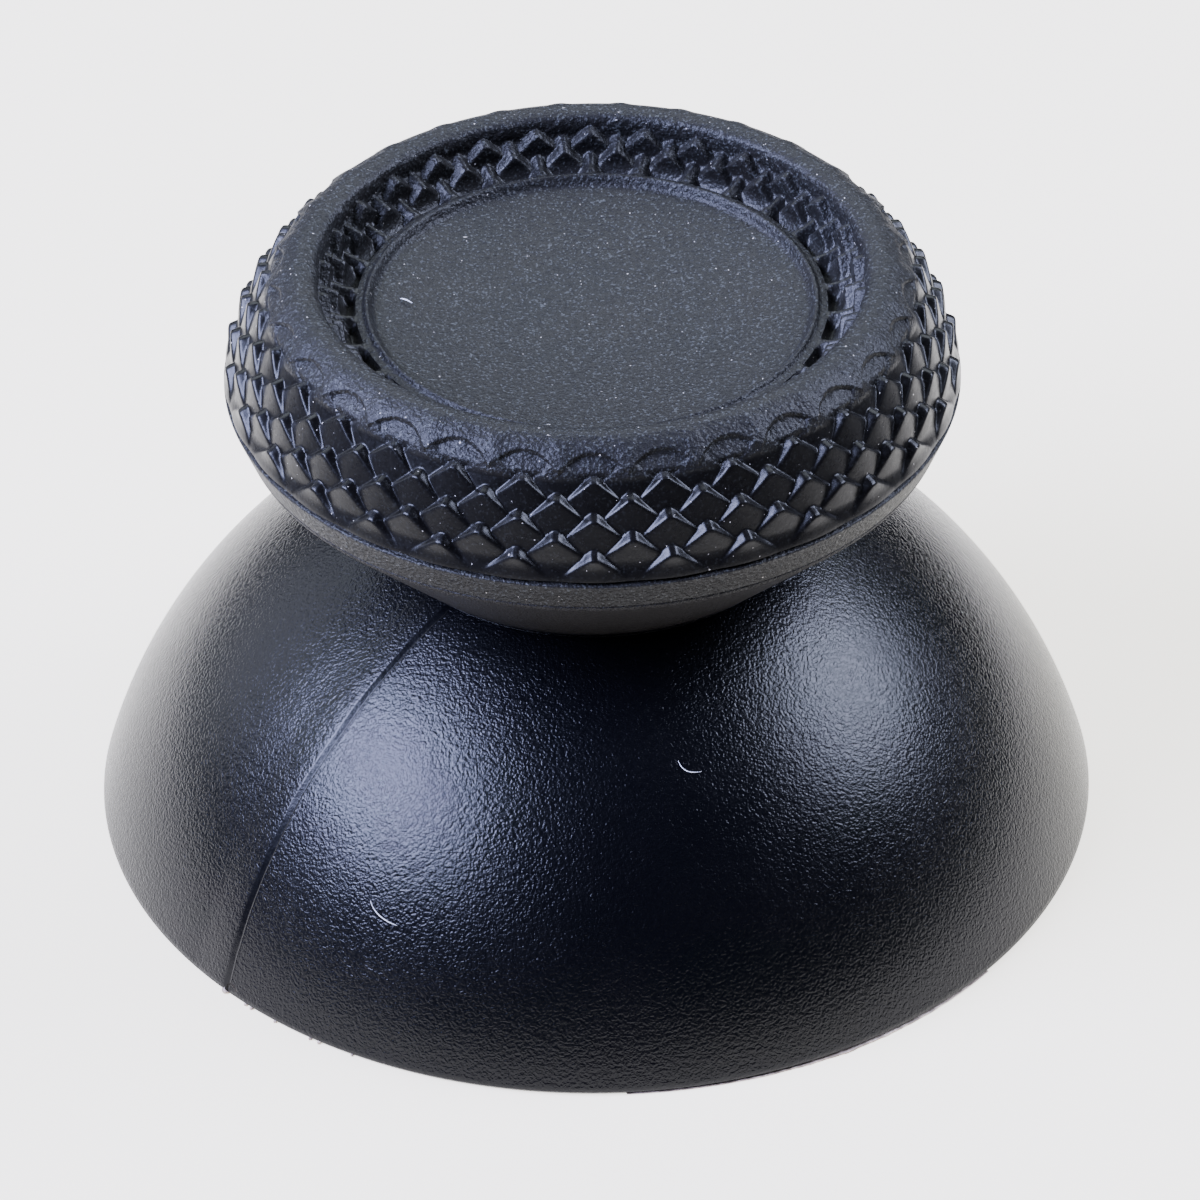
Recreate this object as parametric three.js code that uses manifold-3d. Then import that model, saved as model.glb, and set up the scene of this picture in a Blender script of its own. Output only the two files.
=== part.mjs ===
// Thumbstick cap of a game controller: a hard hollow dome with a flared seat, and a soft grip over it.
// Units are millimetres. +Z points up out of the grip, and z = 0 is the flat rim under the dome.
// The front of the cap, seen first, faces -Y.

import * as THREE from "three";
import { mergeVertices } from "three/addons/utils/BufferGeometryUtils.js";
import Module from "manifold-3d";

// Dome: a cap cut from a sphere, open below.
const RIM_RADIUS = 12.5;
const CROWN_HEIGHT = 9.43; // of the sphere above the rim, as if the dome were whole
const DOME_WALL = 1.1;
const RIM_EDGE = 0.12; // bevel along the outer edge of the rim

// Boss under the crown, with the keyed socket that the joystick's shaft is pushed into.
const BOSS_RADIUS = 3.2;
const BOSS_SETBACK = 4.5; // height of the boss's end above the rim
const SHAFT_DIAMETER = 4.0;
const SHAFT_FLATS = 3.0; // distance between the two flats of the shaft
const SHAFT_CLEARANCE = 0.05; // on each side
const SOCKET_DEPTH = 6.0;
const SOCKET_LEAD_IN = 0.4;

// Flared seat that carries the grip, rising straight out of the dome.
const NECK_RADIUS = 5.3;
const FLARE_ANGLE = THREE.MathUtils.degToRad(44.1); // of the seat's underside, above the horizontal
const FLANGE_LAND = 0.16; // short upright edge of the seat

// Core disc of the seat, hidden inside the grip.
const CORE_HEIGHT = 1.24;
const CORE_CLEARANCE = 0.3; // round the core's side; the grip's flat faces lie on the seat's flat faces

// Grip: its plain band, and the knurled ring above it.
const GRIP_RADIUS = 9.0; // over the tips of the lowest knurls
const GRIP_WALL = 1.5; // from the grip's bore to the band's lower edge at the least
const BAND_HEIGHT = 0.8;
const BAND_TAPER = 0.38; // the band's lower edge lies this far inside the ring
const BAND_STEP = 0.06; // the band's upper edge lies this far inside the ring
const GROOVE_WIDTH = 0.14;
const GROOVE_DEPTH = 0.14;

// Ring in section: a long arc on its side, a rounded crest, a straight inner slope and a fillet at the dish.
const SIDE_RADIUS = 4.55;
const SIDE_START = THREE.MathUtils.degToRad(9.7); // where the lowest knurls are, above the arc's centre
const SIDE_END = THREE.MathUtils.degToRad(49.5);
const CREST_RADIUS = 0.75;
const SLOPE_ANGLE = THREE.MathUtils.degToRad(55); // of the inner slope, above the horizontal
const FILLET_RADIUS = 0.4;
const LEDGE_DEPTH = 1.09; // from the crest down to the ledge beside the dish

// Dish for the thumb.
const LEDGE_WIDTH = 0.18;
const LIP_HEIGHT = 0.12; // of the small lip round the dish, above the ledge
const LIP_WIDTH = 0.2;
const LIP_DROP = 0.24; // from the lip down to the dish's edge
const DISH_DEPTH = 0.5; // of the dish's hollow below its edge

// Knurling: staggered rows of three-sided pyramids, each with one ridge that points at the crest.
const KNURLS_AROUND = 30;
const SIDE_ROW_PITCH = 0.915; // distance between two pyramids of one column, on the ring's side
const SLOPE_ROW_PITCH = 0.86; // and on its inner slope
const SIDE_FIRST_ROW = 0.585; // height along the side of the first pyramid in the front's own column
const SLOPE_FIRST_ROW = 0.17;
const KNURL_DEPTH = 0.36; // from the tips down to the pits
const OUTER_END = THREE.MathUtils.degToRad(86); // where the side's knurling ends, on the crest's arc
const INNER_END = THREE.MathUtils.degToRad(112); // and where the inner slope's knurling ends
const OUTER_FADE = 1.15; // length over which the side's knurling fades out up to the crest
const INNER_FADE = 0.5;
const LEDGE_FADE = 0.3;
const CREASE_GAP = 0.05; // a crease closer than this to the knurling's edge is left out

// Slopes of a pyramid's faces, as depth for each row or column: its face away from the crest, its two sides
// across the columns, and its ridge up to the crest. The sides are 1.5 times as steep as the ridge, which
// puts the pits on the thirds of a column.
const LOWER_SLOPE = 1 / 3;
const RIDGE_SLOPE = 1 / 2;
const FLANK_SLOPE = 1.5 * RIDGE_SLOPE;
const COLUMN_THIRDS = 3;

// Fineness of the round shapes.
const BODY_SIDES = 72;
const GRIP_SIDES = 60;
const ARC_STEP = THREE.MathUtils.degToRad(6);
const SAME_MISFIT = 1e-9;

// Sizes that follow from those above.
const TURN = 2 * Math.PI;
const QUARTER = Math.PI / 2;
const FRONT = -QUARTER;
const domeRadius = (RIM_RADIUS ** 2 + CROWN_HEIGHT ** 2) / (2 * CROWN_HEIGHT);
const sphereDrop = domeRadius - CROWN_HEIGHT; // the sphere's centre below the rim
const neckZ = Math.sqrt(domeRadius ** 2 - NECK_RADIUS ** 2) - sphereDrop;
const flangeRadius = GRIP_RADIUS - BAND_TAPER;
const flareTopZ = neckZ + (flangeRadius - NECK_RADIUS) * Math.tan(FLARE_ANGLE);
const flangeZ = flareTopZ + FLANGE_LAND;
const coreTopZ = flangeZ + CORE_HEIGHT;
const boreRadius = flangeRadius - GRIP_WALL;
const coreRadius = boreRadius - CORE_CLEARANCE;
const bandTopZ = flangeZ + BAND_HEIGHT;
const ringZ = bandTopZ + GROOVE_WIDTH;

const polar = (centre, radius, angle) => [
  centre[0] + radius * Math.cos(angle),
  centre[1] + radius * Math.sin(angle),
];

// Points along an arc in the section plane, both ends included, as [radius, z].
function arc(centre, radius, from, to) {
  const steps = Math.max(1, Math.round(Math.abs(to - from) / ARC_STEP));
  const points = [];
  for (let i = 0; i <= steps; i += 1) {
    points.push(polar(centre, radius, from + ((to - from) * i) / steps));
  }
  return points;
}

// Section of the ring. Each track runs up onto the crest and gives, for a length s along it,
// the point over the knurl tips and the direction that faces out of the rubber there.
const sideCentre = [
  GRIP_RADIUS - SIDE_RADIUS * Math.cos(SIDE_START),
  ringZ - SIDE_RADIUS * Math.sin(SIDE_START),
];
const crestCentre = polar(sideCentre, SIDE_RADIUS - CREST_RADIUS, SIDE_END);
const ledgeZ = crestCentre[1] + CREST_RADIUS - LEDGE_DEPTH;
const slopeTop = polar(crestCentre, CREST_RADIUS, QUARTER + SLOPE_ANGLE);
const slopeBottomZ = ledgeZ + FILLET_RADIUS * (1 - Math.cos(SLOPE_ANGLE));
const slopeLength = (slopeTop[1] - slopeBottomZ) / Math.sin(SLOPE_ANGLE);
const slopeBottomRadius = slopeTop[0] - slopeLength * Math.cos(SLOPE_ANGLE);
const filletCentre = [slopeBottomRadius - FILLET_RADIUS * Math.sin(SLOPE_ANGLE), ledgeZ + FILLET_RADIUS];
const filletLength = FILLET_RADIUS * SLOPE_ANGLE;

const sideLength = SIDE_RADIUS * (SIDE_END - SIDE_START);
const sideTrack = sideLength + CREST_RADIUS * (OUTER_END - SIDE_END);
const slopeStart = QUARTER + SLOPE_ANGLE; // where the slope leaves the crest's arc
const slopeEnd = filletLength + slopeLength;
const slopeTrack = slopeEnd + CREST_RADIUS * (slopeStart - INNER_END);

const onArc = (centre, radius, angle) => ({
  point: polar(centre, radius, angle),
  out: [Math.cos(angle), Math.sin(angle)],
});

function onSide(s) {
  if (s < sideLength) {
    return onArc(sideCentre, SIDE_RADIUS, SIDE_START + s / SIDE_RADIUS);
  }
  return onArc(crestCentre, CREST_RADIUS, SIDE_END + (s - sideLength) / CREST_RADIUS);
}

function onSlope(s) {
  if (s > slopeEnd) {
    return onArc(crestCentre, CREST_RADIUS, slopeStart - (s - slopeEnd) / CREST_RADIUS);
  }
  if (s < filletLength) {
    const angle = s / FILLET_RADIUS - QUARTER;
    return {
      point: polar(filletCentre, FILLET_RADIUS, angle),
      out: [-Math.cos(angle), -Math.sin(angle)],
    };
  }
  const along = s - filletLength;
  return {
    point: [
      slopeBottomRadius + along * Math.cos(SLOPE_ANGLE),
      slopeBottomZ + along * Math.sin(SLOPE_ANGLE),
    ],
    out: [-Math.sin(SLOPE_ANGLE), Math.cos(SLOPE_ANGLE)],
  };
}

// How deep the knurling is cut, from 0 to 1: it fades out towards the smooth crest and the ledge.
const ramp = (s, from, to) => THREE.MathUtils.clamp((s - from) / (to - from), 0, 1);
const sideRelief = (s) => ramp(s, sideTrack, sideTrack - OUTER_FADE);
const slopeRelief = (s) => ramp(s, 0, LEDGE_FADE) * ramp(s, slopeTrack, slopeTrack - INNER_FADE);

// Depth of the knurled surface below the tips, where 1 is a pit. Columns of tips stand at every whole u,
// rows at every whole v, and the odd columns are shifted by half a row.
const pitDepth = (2 * FLANK_SLOPE) / COLUMN_THIRDS - RIDGE_SLOPE * pitDrop(2 / COLUMN_THIRDS);

// How far below its own tip the pit beside a pyramid lies, at that distance across the columns.
function pitDrop(across) {
  return (FLANK_SLOPE * across - LOWER_SLOPE / 2) / (LOWER_SLOPE + RIDGE_SLOPE);
}

function knurlDepth(u, v) {
  let least = Infinity;
  const middle = Math.round(u);
  for (let column = middle - 1; column <= middle + 1; column += 1) {
    const shift = column % 2 === 0 ? 0 : 0.5;
    const row = Math.round(v - shift);
    for (let tip = row - 1; tip <= row + 1; tip += 1) {
      const across = Math.abs(u - column);
      const up = v - tip - shift;
      const flank = FLANK_SLOPE * across + RIDGE_SLOPE * up;
      least = Math.min(least, Math.max(-LOWER_SLOPE * up, flank));
    }
  }
  return least / pitDepth;
}

// Heights, as shares of a row, at which the creases cross the thirds of a column: first on the column's own
// line, which holds the tips and the ends of the ridges, then on the lines beside it.
const slopeSum = LOWER_SLOPE + RIDGE_SLOPE;
const armDrop = FLANK_SLOPE / slopeSum / COLUMN_THIRDS; // of a pyramid's lower edge, over a third of a column
const ownLine = [0, LOWER_SLOPE / slopeSum];
const besideLine = [-armDrop, 1 / 2 - 2 * armDrop, 1 / 2 - pitDrop(2 / COLUMN_THIRDS)];
const halfRow = (shares) => shares.map((share) => share + 1 / 2);
const CREASES = [ownLine, besideLine, halfRow(besideLine), halfRow(ownLine), halfRow(besideLine), besideLine];
const KNURL_LINES = KNURLS_AROUND * CREASES.length;

// A skin of triangles whose corners are shared.
class Skin {
  constructor() {
    this.positions = [];
    this.faces = [];
  }

  corner(radius, z, angle) {
    this.positions.push(radius * Math.cos(angle), radius * Math.sin(angle), z);
    return this.positions.length / 3 - 1;
  }

  // A ring of corners round the axis, as a list of { corner, at } with the angle in at.
  ring(radius, z, sides) {
    const corners = [];
    for (let i = 0; i < sides; i += 1) {
      const at = FRONT + (TURN * i) / sides;
      corners.push({ corner: this.corner(radius, z, at), at });
    }
    return corners;
  }

  // Fills the strip between two open chains, which run the same way with rising values of at. Each next edge
  // is the one of the two possible ones with the lower misfit, and at equal misfits the lower one.
  strip(left, right, flip, misfit = () => 0) {
    let i = 0;
    let j = 0;
    while (i < left.length - 1 || j < right.length - 1) {
      const leftNext = left[i + 1];
      const rightNext = right[j + 1];
      const onLeft = leftNext ? misfit(leftNext, right[j]) : Infinity;
      const onRight = rightNext ? misfit(left[i], rightNext) : Infinity;
      const tied = Math.abs(onLeft - onRight) < SAME_MISFIT;
      const goLeft = tied ? leftNext.at <= rightNext.at : onLeft < onRight;
      const a = left[i].corner;
      const b = right[j].corner;
      let c;
      if (goLeft) {
        i += 1;
        c = left[i].corner;
      } else {
        j += 1;
        c = right[j].corner;
      }
      this.faces.push(...(flip ? [a, c, b] : [a, b, c]));
    }
  }

  // Fills the belt between two rings, the second one further along the section's outline.
  belt(first, second) {
    const closed = (ring) => [...ring, { corner: ring[0].corner, at: ring[0].at + TURN }];
    this.strip(closed(first), closed(second), true);
  }

  cap(ring, z, flip) {
    const centre = this.corner(0, z, 0);
    ring.forEach((here, i) => {
      const next = ring[(i + 1) % ring.length];
      this.faces.push(...(flip ? [next.corner, here.corner, centre] : [here.corner, next.corner, centre]));
    });
  }

  geometry() {
    const result = new THREE.BufferGeometry();
    result.setAttribute("position", new THREE.Float32BufferAttribute(this.positions, 3));
    result.setIndex(this.faces);
    return result;
  }
}

// Knurled field along one track. It gives back its two edges as rings, the lower one first.
function knurledField(skin, field) {
  const depthAt = (u, s) => knurlDepth(u, (s - field.firstRow) / field.row);
  const lines = [];
  for (let line = 0; line <= KNURL_LINES; line += 1) {
    const angle = FRONT + (TURN * line) / KNURL_LINES;
    const u = line / COLUMN_THIRDS;
    const heights = [field.start, field.end];
    for (const share of CREASES[line % CREASES.length]) {
      for (let row = -1; row * field.row < field.end; row += 1) {
        const s = field.firstRow + (row + share) * field.row;
        if (s > field.start + CREASE_GAP && s < field.end - CREASE_GAP) {
          heights.push(s);
        }
      }
    }
    heights.sort((a, b) => a - b);
    const first = lines[0];
    lines.push(
      heights.map((s, i) => {
        const { point, out } = field.track(s);
        const depth = KNURL_DEPTH * field.relief(s) * depthAt(u, s);
        const corner =
          line === KNURL_LINES
            ? first[i].corner
            : skin.corner(point[0] - depth * out[0], point[1] - depth * out[1], angle);
        return { corner, at: s, angle, u };
      }),
    );
  }
  const misfit = (a, b) =>
    Math.abs(depthAt(a.u, a.at) + depthAt(b.u, b.at) - 2 * depthAt((a.u + b.u) / 2, (a.at + b.at) / 2));
  lines.slice(1).forEach((line, i) => skin.strip(lines[i], line, field.inward, misfit));
  const around = lines.slice(0, -1);
  const edge = (pick) => around.map((line) => ({ corner: pick(line).corner, at: pick(line).angle }));
  return [edge((line) => line[0]), edge((line) => line[line.length - 1])];
}

// Soft grip: band, knurled ring, dish and the recess that takes the core disc.
function gripGeometry() {
  const skin = new Skin();
  const around = ([radius, z]) => skin.ring(radius, z, GRIP_SIDES);

  const [ringBottom, sideTop] = knurledField(skin, {
    track: onSide,
    relief: sideRelief,
    start: 0,
    end: sideTrack,
    row: SIDE_ROW_PITCH,
    firstRow: SIDE_FIRST_ROW,
    inward: false,
  });
  const [slopeFoot, slopeHead] = knurledField(skin, {
    track: onSlope,
    relief: slopeRelief,
    start: 0,
    end: slopeTrack,
    row: SLOPE_ROW_PITCH,
    firstRow: SLOPE_FIRST_ROW,
    inward: true,
  });

  const crest = arc(crestCentre, CREST_RADIUS, OUTER_END, INNER_END).slice(1, -1).map(around);
  const lipRadius = filletCentre[0] - LEDGE_WIDTH;
  const lipZ = ledgeZ + LIP_HEIGHT;
  const dishEdge = [lipRadius - LIP_WIDTH, lipZ - LIP_DROP];
  const lip = [[lipRadius, lipZ - LIP_HEIGHT / 4], [lipRadius - LIP_WIDTH / 3, lipZ], dishEdge].map(around);
  const dishArc = (dishEdge[0] ** 2 + DISH_DEPTH ** 2) / (2 * DISH_DEPTH);
  const dishCentre = [0, dishEdge[1] - DISH_DEPTH + dishArc];
  const dishSteps = [0.84, 0.67, 0.5, 0.33, 0.16];
  const dish = dishSteps.map((share) => {
    const radius = share * dishEdge[0];
    return around([radius, dishCentre[1] - Math.sqrt(dishArc ** 2 - radius ** 2)]);
  });

  const underside = [
    [boreRadius, coreTopZ],
    [boreRadius, flangeZ],
    [flangeRadius, flangeZ],
    [GRIP_RADIUS - BAND_STEP, bandTopZ],
    [GRIP_RADIUS - BAND_STEP - GROOVE_DEPTH, bandTopZ + GROOVE_WIDTH / 3],
  ].map(around);

  // The outline runs from the bore's ceiling out and up the side, over the crest and into the dish.
  const upToKnurls = [...underside, ringBottom];
  const overCrest = [sideTop, ...crest, slopeHead];
  const intoDish = [slopeFoot, ...lip, ...dish];
  for (const rings of [upToKnurls, overCrest, intoDish]) {
    rings.slice(1).forEach((ring, i) => skin.belt(rings[i], ring));
  }
  skin.cap(underside[0], coreTopZ, true);
  skin.cap(dish[dish.length - 1], dishEdge[1] - DISH_DEPTH, false);
  return skin.geometry();
}

// Hard body in section, from the boss's end out over the rim, up the dome and flare to the core disc.
function bodyProfile() {
  const sphereCentre = [0, -sphereDrop];
  const insideRadius = domeRadius - DOME_WALL;
  const rimInside = Math.sqrt(insideRadius ** 2 - sphereDrop ** 2);
  const bossRoot = Math.acos(BOSS_RADIUS / insideRadius);
  const rimInsideAngle = Math.acos(rimInside / insideRadius);
  const rimBevelAngle = Math.asin((sphereDrop + RIM_EDGE) / domeRadius);
  const neckAngle = Math.acos(NECK_RADIUS / domeRadius);
  return [
    [0, BOSS_SETBACK],
    [BOSS_RADIUS, BOSS_SETBACK],
    ...arc(sphereCentre, insideRadius, bossRoot, rimInsideAngle),
    [RIM_RADIUS - RIM_EDGE, 0],
    ...arc(sphereCentre, domeRadius, rimBevelAngle, neckAngle),
    [flangeRadius, flareTopZ],
    [flangeRadius, flangeZ],
    [coreRadius, flangeZ],
    [coreRadius, coreTopZ],
    [0, coreTopZ],
  ];
}

// Turns a section about the z axis.
function revolve(profile, sides) {
  const points = profile.map(([radius, z]) => new THREE.Vector2(radius, z));
  return new THREE.LatheGeometry(points, sides).rotateX(QUARTER);
}

// Section of the shaft's socket: a circle with two flats, which face +X and -X.
function socketShape(grow) {
  const radius = SHAFT_DIAMETER / 2 + grow;
  const flat = SHAFT_FLATS / 2 + grow;
  const half = Math.acos(flat / radius);
  const shape = new THREE.Shape();
  shape.absarc(0, 0, radius, half, Math.PI - half, false);
  shape.absarc(0, 0, radius, Math.PI + half, TURN - half, false);
  shape.closePath();
  return shape;
}

// The socket's hollow, with a wider lead-in at its mouth.
function socketTools() {
  const options = { bevelEnabled: false, curveSegments: 10 };
  const bore = new THREE.ExtrudeGeometry(socketShape(SHAFT_CLEARANCE), {
    ...options,
    depth: SOCKET_DEPTH + SOCKET_LEAD_IN,
  }).translate(0, 0, BOSS_SETBACK - SOCKET_LEAD_IN);
  const mouth = new THREE.ExtrudeGeometry(socketShape(0), {
    depth: SOCKET_LEAD_IN,
    curveSegments: options.curveSegments,
    bevelEnabled: true,
    bevelSegments: 1,
    bevelThickness: SOCKET_LEAD_IN,
    bevelSize: SOCKET_LEAD_IN,
  }).translate(0, 0, BOSS_SETBACK - SOCKET_LEAD_IN);
  return [bore, mouth];
}

const wasm = await Module();
wasm.setup();

function solidFrom(geometry) {
  const bare = geometry.clone();
  bare.deleteAttribute("normal");
  bare.deleteAttribute("uv");
  const merged = mergeVertices(bare, 1e-4);
  const kept = [];
  const corners = merged.index.array;
  for (let i = 0; i < corners.length; i += 3) {
    const [a, b, c] = corners.slice(i, i + 3);
    if (a !== b && b !== c && c !== a) {
      kept.push(a, b, c);
    }
  }
  const mesh = new wasm.Mesh({
    numProp: 3,
    vertProperties: new Float32Array(merged.attributes.position.array),
    triVerts: new Uint32Array(kept),
  });
  return new wasm.Manifold(mesh);
}

function geometryFrom(solid) {
  const mesh = solid.getMesh();
  const geometry = new THREE.BufferGeometry();
  geometry.setAttribute("position", new THREE.BufferAttribute(new Float32Array(mesh.vertProperties), 3));
  geometry.setIndex(new THREE.BufferAttribute(new Uint32Array(mesh.triVerts), 1));
  return geometry;
}

// Hard body: dome, boss with its socket, flare and core disc, moulded in one piece.
function bodyGeometry() {
  let body = solidFrom(revolve(bodyProfile(), BODY_SIDES));
  for (const tool of socketTools()) {
    body = body.subtract(solidFrom(tool));
  }
  return geometryFrom(body);
}

function piece(name, geometry, color, roughness) {
  geometry.computeVertexNormals();
  const material = new THREE.MeshStandardMaterial({ color, roughness, metalness: 0, flatShading: true });
  const mesh = new THREE.Mesh(geometry, material);
  mesh.name = name;
  return mesh;
}

const thumbstickCap = new THREE.Group();
thumbstickCap.add(piece("dome_and_stem", bodyGeometry(), 0x15161d, 0.42));
thumbstickCap.add(piece("rubber_grip", gripGeometry(), 0x252a31, 0.7));

export default thumbstickCap;
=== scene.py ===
"""Thumbstick cap: fine meshes of its hard dome and its soft grip, their materials, light and camera.

Lengths here are in millimetres and go through MM when they reach Blender. Sections are lists of (radius, z),
and angles round the cap run counter-clockwise seen from above, with the front, at -Y, at -90 degrees.
"""

import math
import random

import bmesh
import bpy
import numpy as np
from mathutils import Matrix, Vector


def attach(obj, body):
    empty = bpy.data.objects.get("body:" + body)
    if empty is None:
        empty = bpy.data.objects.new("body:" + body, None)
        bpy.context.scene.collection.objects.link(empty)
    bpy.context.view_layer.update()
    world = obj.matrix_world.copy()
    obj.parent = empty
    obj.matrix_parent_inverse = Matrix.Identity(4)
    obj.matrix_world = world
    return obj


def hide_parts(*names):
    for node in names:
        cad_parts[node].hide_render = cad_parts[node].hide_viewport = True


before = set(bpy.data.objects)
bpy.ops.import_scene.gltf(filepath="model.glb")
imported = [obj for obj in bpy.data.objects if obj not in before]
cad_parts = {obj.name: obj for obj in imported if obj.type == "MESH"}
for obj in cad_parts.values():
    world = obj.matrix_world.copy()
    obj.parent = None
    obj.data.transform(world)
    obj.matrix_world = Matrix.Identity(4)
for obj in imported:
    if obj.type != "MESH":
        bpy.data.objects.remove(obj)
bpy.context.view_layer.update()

MM = 0.001
TURN = 2 * math.pi
QUARTER = math.pi / 2
FRONT = -QUARTER

# Hard body, the same sizes as in the CAD part.
RIM_RADIUS = 12.5
CROWN_HEIGHT = 9.43
DOME_WALL = 1.1
RIM_EDGE = 0.12
FLANGE_ROUND = 0.05
BOSS_RADIUS = 3.2
BOSS_SETBACK = 4.5
SHAFT_DIAMETER = 4.0
SHAFT_FLATS = 3.0
SHAFT_CLEARANCE = 0.05
SOCKET_DEPTH = 6.0
SOCKET_LEAD_IN = 0.4
NECK_RADIUS = 5.3
FLARE_ANGLE = math.radians(44.1)
FLANGE_LAND = 0.16
CORE_HEIGHT = 1.24
CORE_CLEARANCE = 0.3

# Grip, the same sizes as in the CAD part.
GRIP_RADIUS = 9.0
GRIP_WALL = 1.5
BAND_HEIGHT = 0.8
BAND_TAPER = 0.38
BAND_STEP = 0.06
GROOVE_WIDTH = 0.14
GROOVE_DEPTH = 0.14
FOOT_INSIDE = 8.62
SIDE_RADIUS = 4.55
SIDE_START = math.radians(9.7)
SIDE_END = math.radians(49.5)
CREST_RADIUS = 0.75
SLOPE_ANGLE = math.radians(55)
FILLET_RADIUS = 0.4
LEDGE_DEPTH = 1.09
LEDGE_WIDTH = 0.18
LIP_HEIGHT = 0.12
LIP_WIDTH = 0.2
LIP_DROP = 0.24
DISH_DEPTH = 0.5
KNURLS_AROUND = 30
SIDE_ROW_PITCH = 0.915
SLOPE_ROW_PITCH = 0.86
SIDE_FIRST_ROW = 0.585
SLOPE_FIRST_ROW = 0.17
OUTER_END = math.radians(86)
INNER_END = math.radians(112)

# Fine shape that only the looks need. A column is half a pair of knurls wide, a row is one pitch high.
PIT_DEPTH = 0.32
LOWER_START = 0.42  # fall of a lower face at its top, per row; it flattens downwards
LOWER_BEND = 0.7
LOWER_DOME = 0.12  # fall of a lower face towards its sides, per column squared
RIDGE_RISE = 0.90  # how deep a ridge runs above its tip, per row
FLANK_RISE = 0.94  # how deep a flank runs beside its ridge, per column
RIDGE_FLAT = 0.05  # half the flat on a knurl's ridge, in columns
RIDGE_ROUND = 0.04  # rounding beside that flat, in columns
EDGE_ROUND = 0.055  # rounding of the edge between a flank and the lower face
EDGE_LIFT = 0.45  # share of that rounding by which the tips are raised again
PIT_ROUND = 0.012
NO_TIP = 2.0  # depth where no tip is near, well below the pits
SLOPE_LOWER = 0.66  # on the inner slope: how deep a lower face runs, per row
SLOPE_RIDGE = 0.56
SLOPE_FLANK = 0.75
SLOPE_EDGE = 0.045
SLOPE_FADE = 0.14  # length over which the slope's knurls fade out at the fillet's foot
SLOPE_RUNOUT = 0.55  # length over which they run out towards the crest
FOOT_SHARE = 0.5  # share of the knurls' depth that is left at the ring's foot
FOOT_LENGTH = 0.5
LOWEST_TIP = 0.2  # tips nearer to the ring's foot than this are left out
CREASE = math.radians(38)  # valleys of the knurls that turn by more than this are shaded as creases
CREST_RECESS = 0.11  # depth that is left above the even columns' highest tips
RECESS_START = (2.38, 2.68)
ARC_TOP = 3.12  # where that recess ends over an even column, along the side
ARC_FALL = 0.5
ARC_STEP = 0.04
CREST_RIB = 0.03  # height of the faint ribs that run over the crest from the odd columns
RIB_SIDES = (0.03, 0.45)  # a rib's flat top and its foot, in columns from its middle
RIB_START = (2.7, 3.1)
RIB_END = 0.3
SIDE_LOOK_END = (2.3, 2.7)  # where the knurls' smooth look gives way to the crest's matt one
SLOPE_LOOK = 0.6  # how much of the knurls' smooth look the inner slope has
SLOPE_LOOK_FADE = 0.3

# Spacing of the meshes' rings and the number of their sides.
SIDE_STEP = 0.034
SLOPE_STEP = 0.036
CREST_STEP = 0.08
DOME_STEP = 0.12
FLARE_STEP = 0.25
INSIDE_STEP = 0.35
BAND_RING_STEP = 0.3
DISH_RINGS = 22
DISH_SPAN = (0.97, 0.03)  # radii of the dish's first and last ring, as shares of its edge's
SIDE_SIDES = 1800
SLOPE_SIDES = 1200
SIDE_BANDS = 3
BODY_SIDES = 480
PLAIN_SIDES = 480
FAN_RADIUS = 0.3  # innermost ring of a flat face, which a fan closes
NECK_CREASE = 0.01  # rings this close to the neck on both sides keep its corner sharp

# Small roundings and lands.
BOSS_LAND = 0.4
BOSS_ROUND = 0.12
BAND_ROUND = 0.08
BAND_LAND = 0.04
BAND_FOOT = (0.02, 0.05)  # outwards and up from the flange's edge
GROOVE_FLOOR = (1 / 3, 0.8)  # the groove's flat floor, as shares of its width
OVERLAP = 0.01  # how far the band runs in under the knurled ring
LEDGE_LAP = (0.04, 0.06)  # how far the slope runs in and the dish out, where both lie on the ledge
LEDGE_SINK = 0.02  # how far below the ledge both end
LIP_FOOT = (0.07, 0.02)  # out from the lip's edge and up from the ledge
LIP_ROUND = 0.12
ROUND_SHARE = 0.45  # a rounded corner takes up no more than this share of the stretches beside it

# The floor dims between these distances from a point a little behind the cap.
FLOOR_CENTRE = 18 * MM
FLOOR_BRIGHT = 38 * MM
FLOOR_DIM = 56 * MM

# Parting line of the dome's mould: a vertical plane, n . p = offset, that leans a little near the rim and
# has a narrow step beside it. A notch, given by its centre, breaks it at the rim.
PARTING_NORMAL = (-0.626, 0.780)
PARTING_OFFSET = -0.99
PARTING_LEAN = 0.11
PARTING_STEP = 0.17
PARTING_FALL = 1.2  # width over which the side beside the step falls away
NOTCH = (-8.93, -8.70, 0.22)

domeRadius = (RIM_RADIUS**2 + CROWN_HEIGHT**2) / (2 * CROWN_HEIGHT)
sphereDrop = domeRadius - CROWN_HEIGHT
neckZ = math.sqrt(domeRadius**2 - NECK_RADIUS**2) - sphereDrop
flangeRadius = GRIP_RADIUS - BAND_TAPER
flareTopZ = neckZ + (flangeRadius - NECK_RADIUS) * math.tan(FLARE_ANGLE)
flangeZ = flareTopZ + FLANGE_LAND
coreTopZ = flangeZ + CORE_HEIGHT
boreRadius = flangeRadius - GRIP_WALL
coreRadius = boreRadius - CORE_CLEARANCE
bandTopZ = flangeZ + BAND_HEIGHT
ringZ = bandTopZ + GROOVE_WIDTH


def polar(centre, radius, angle):
    return (centre[0] + radius * math.cos(angle), centre[1] + radius * math.sin(angle))


def arc(centre, radius, start, end, step):
    count = max(1, math.ceil(abs(end - start) * radius / step))
    return [polar(centre, radius, start + (end - start) * i / count) for i in range(count + 1)]


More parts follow.
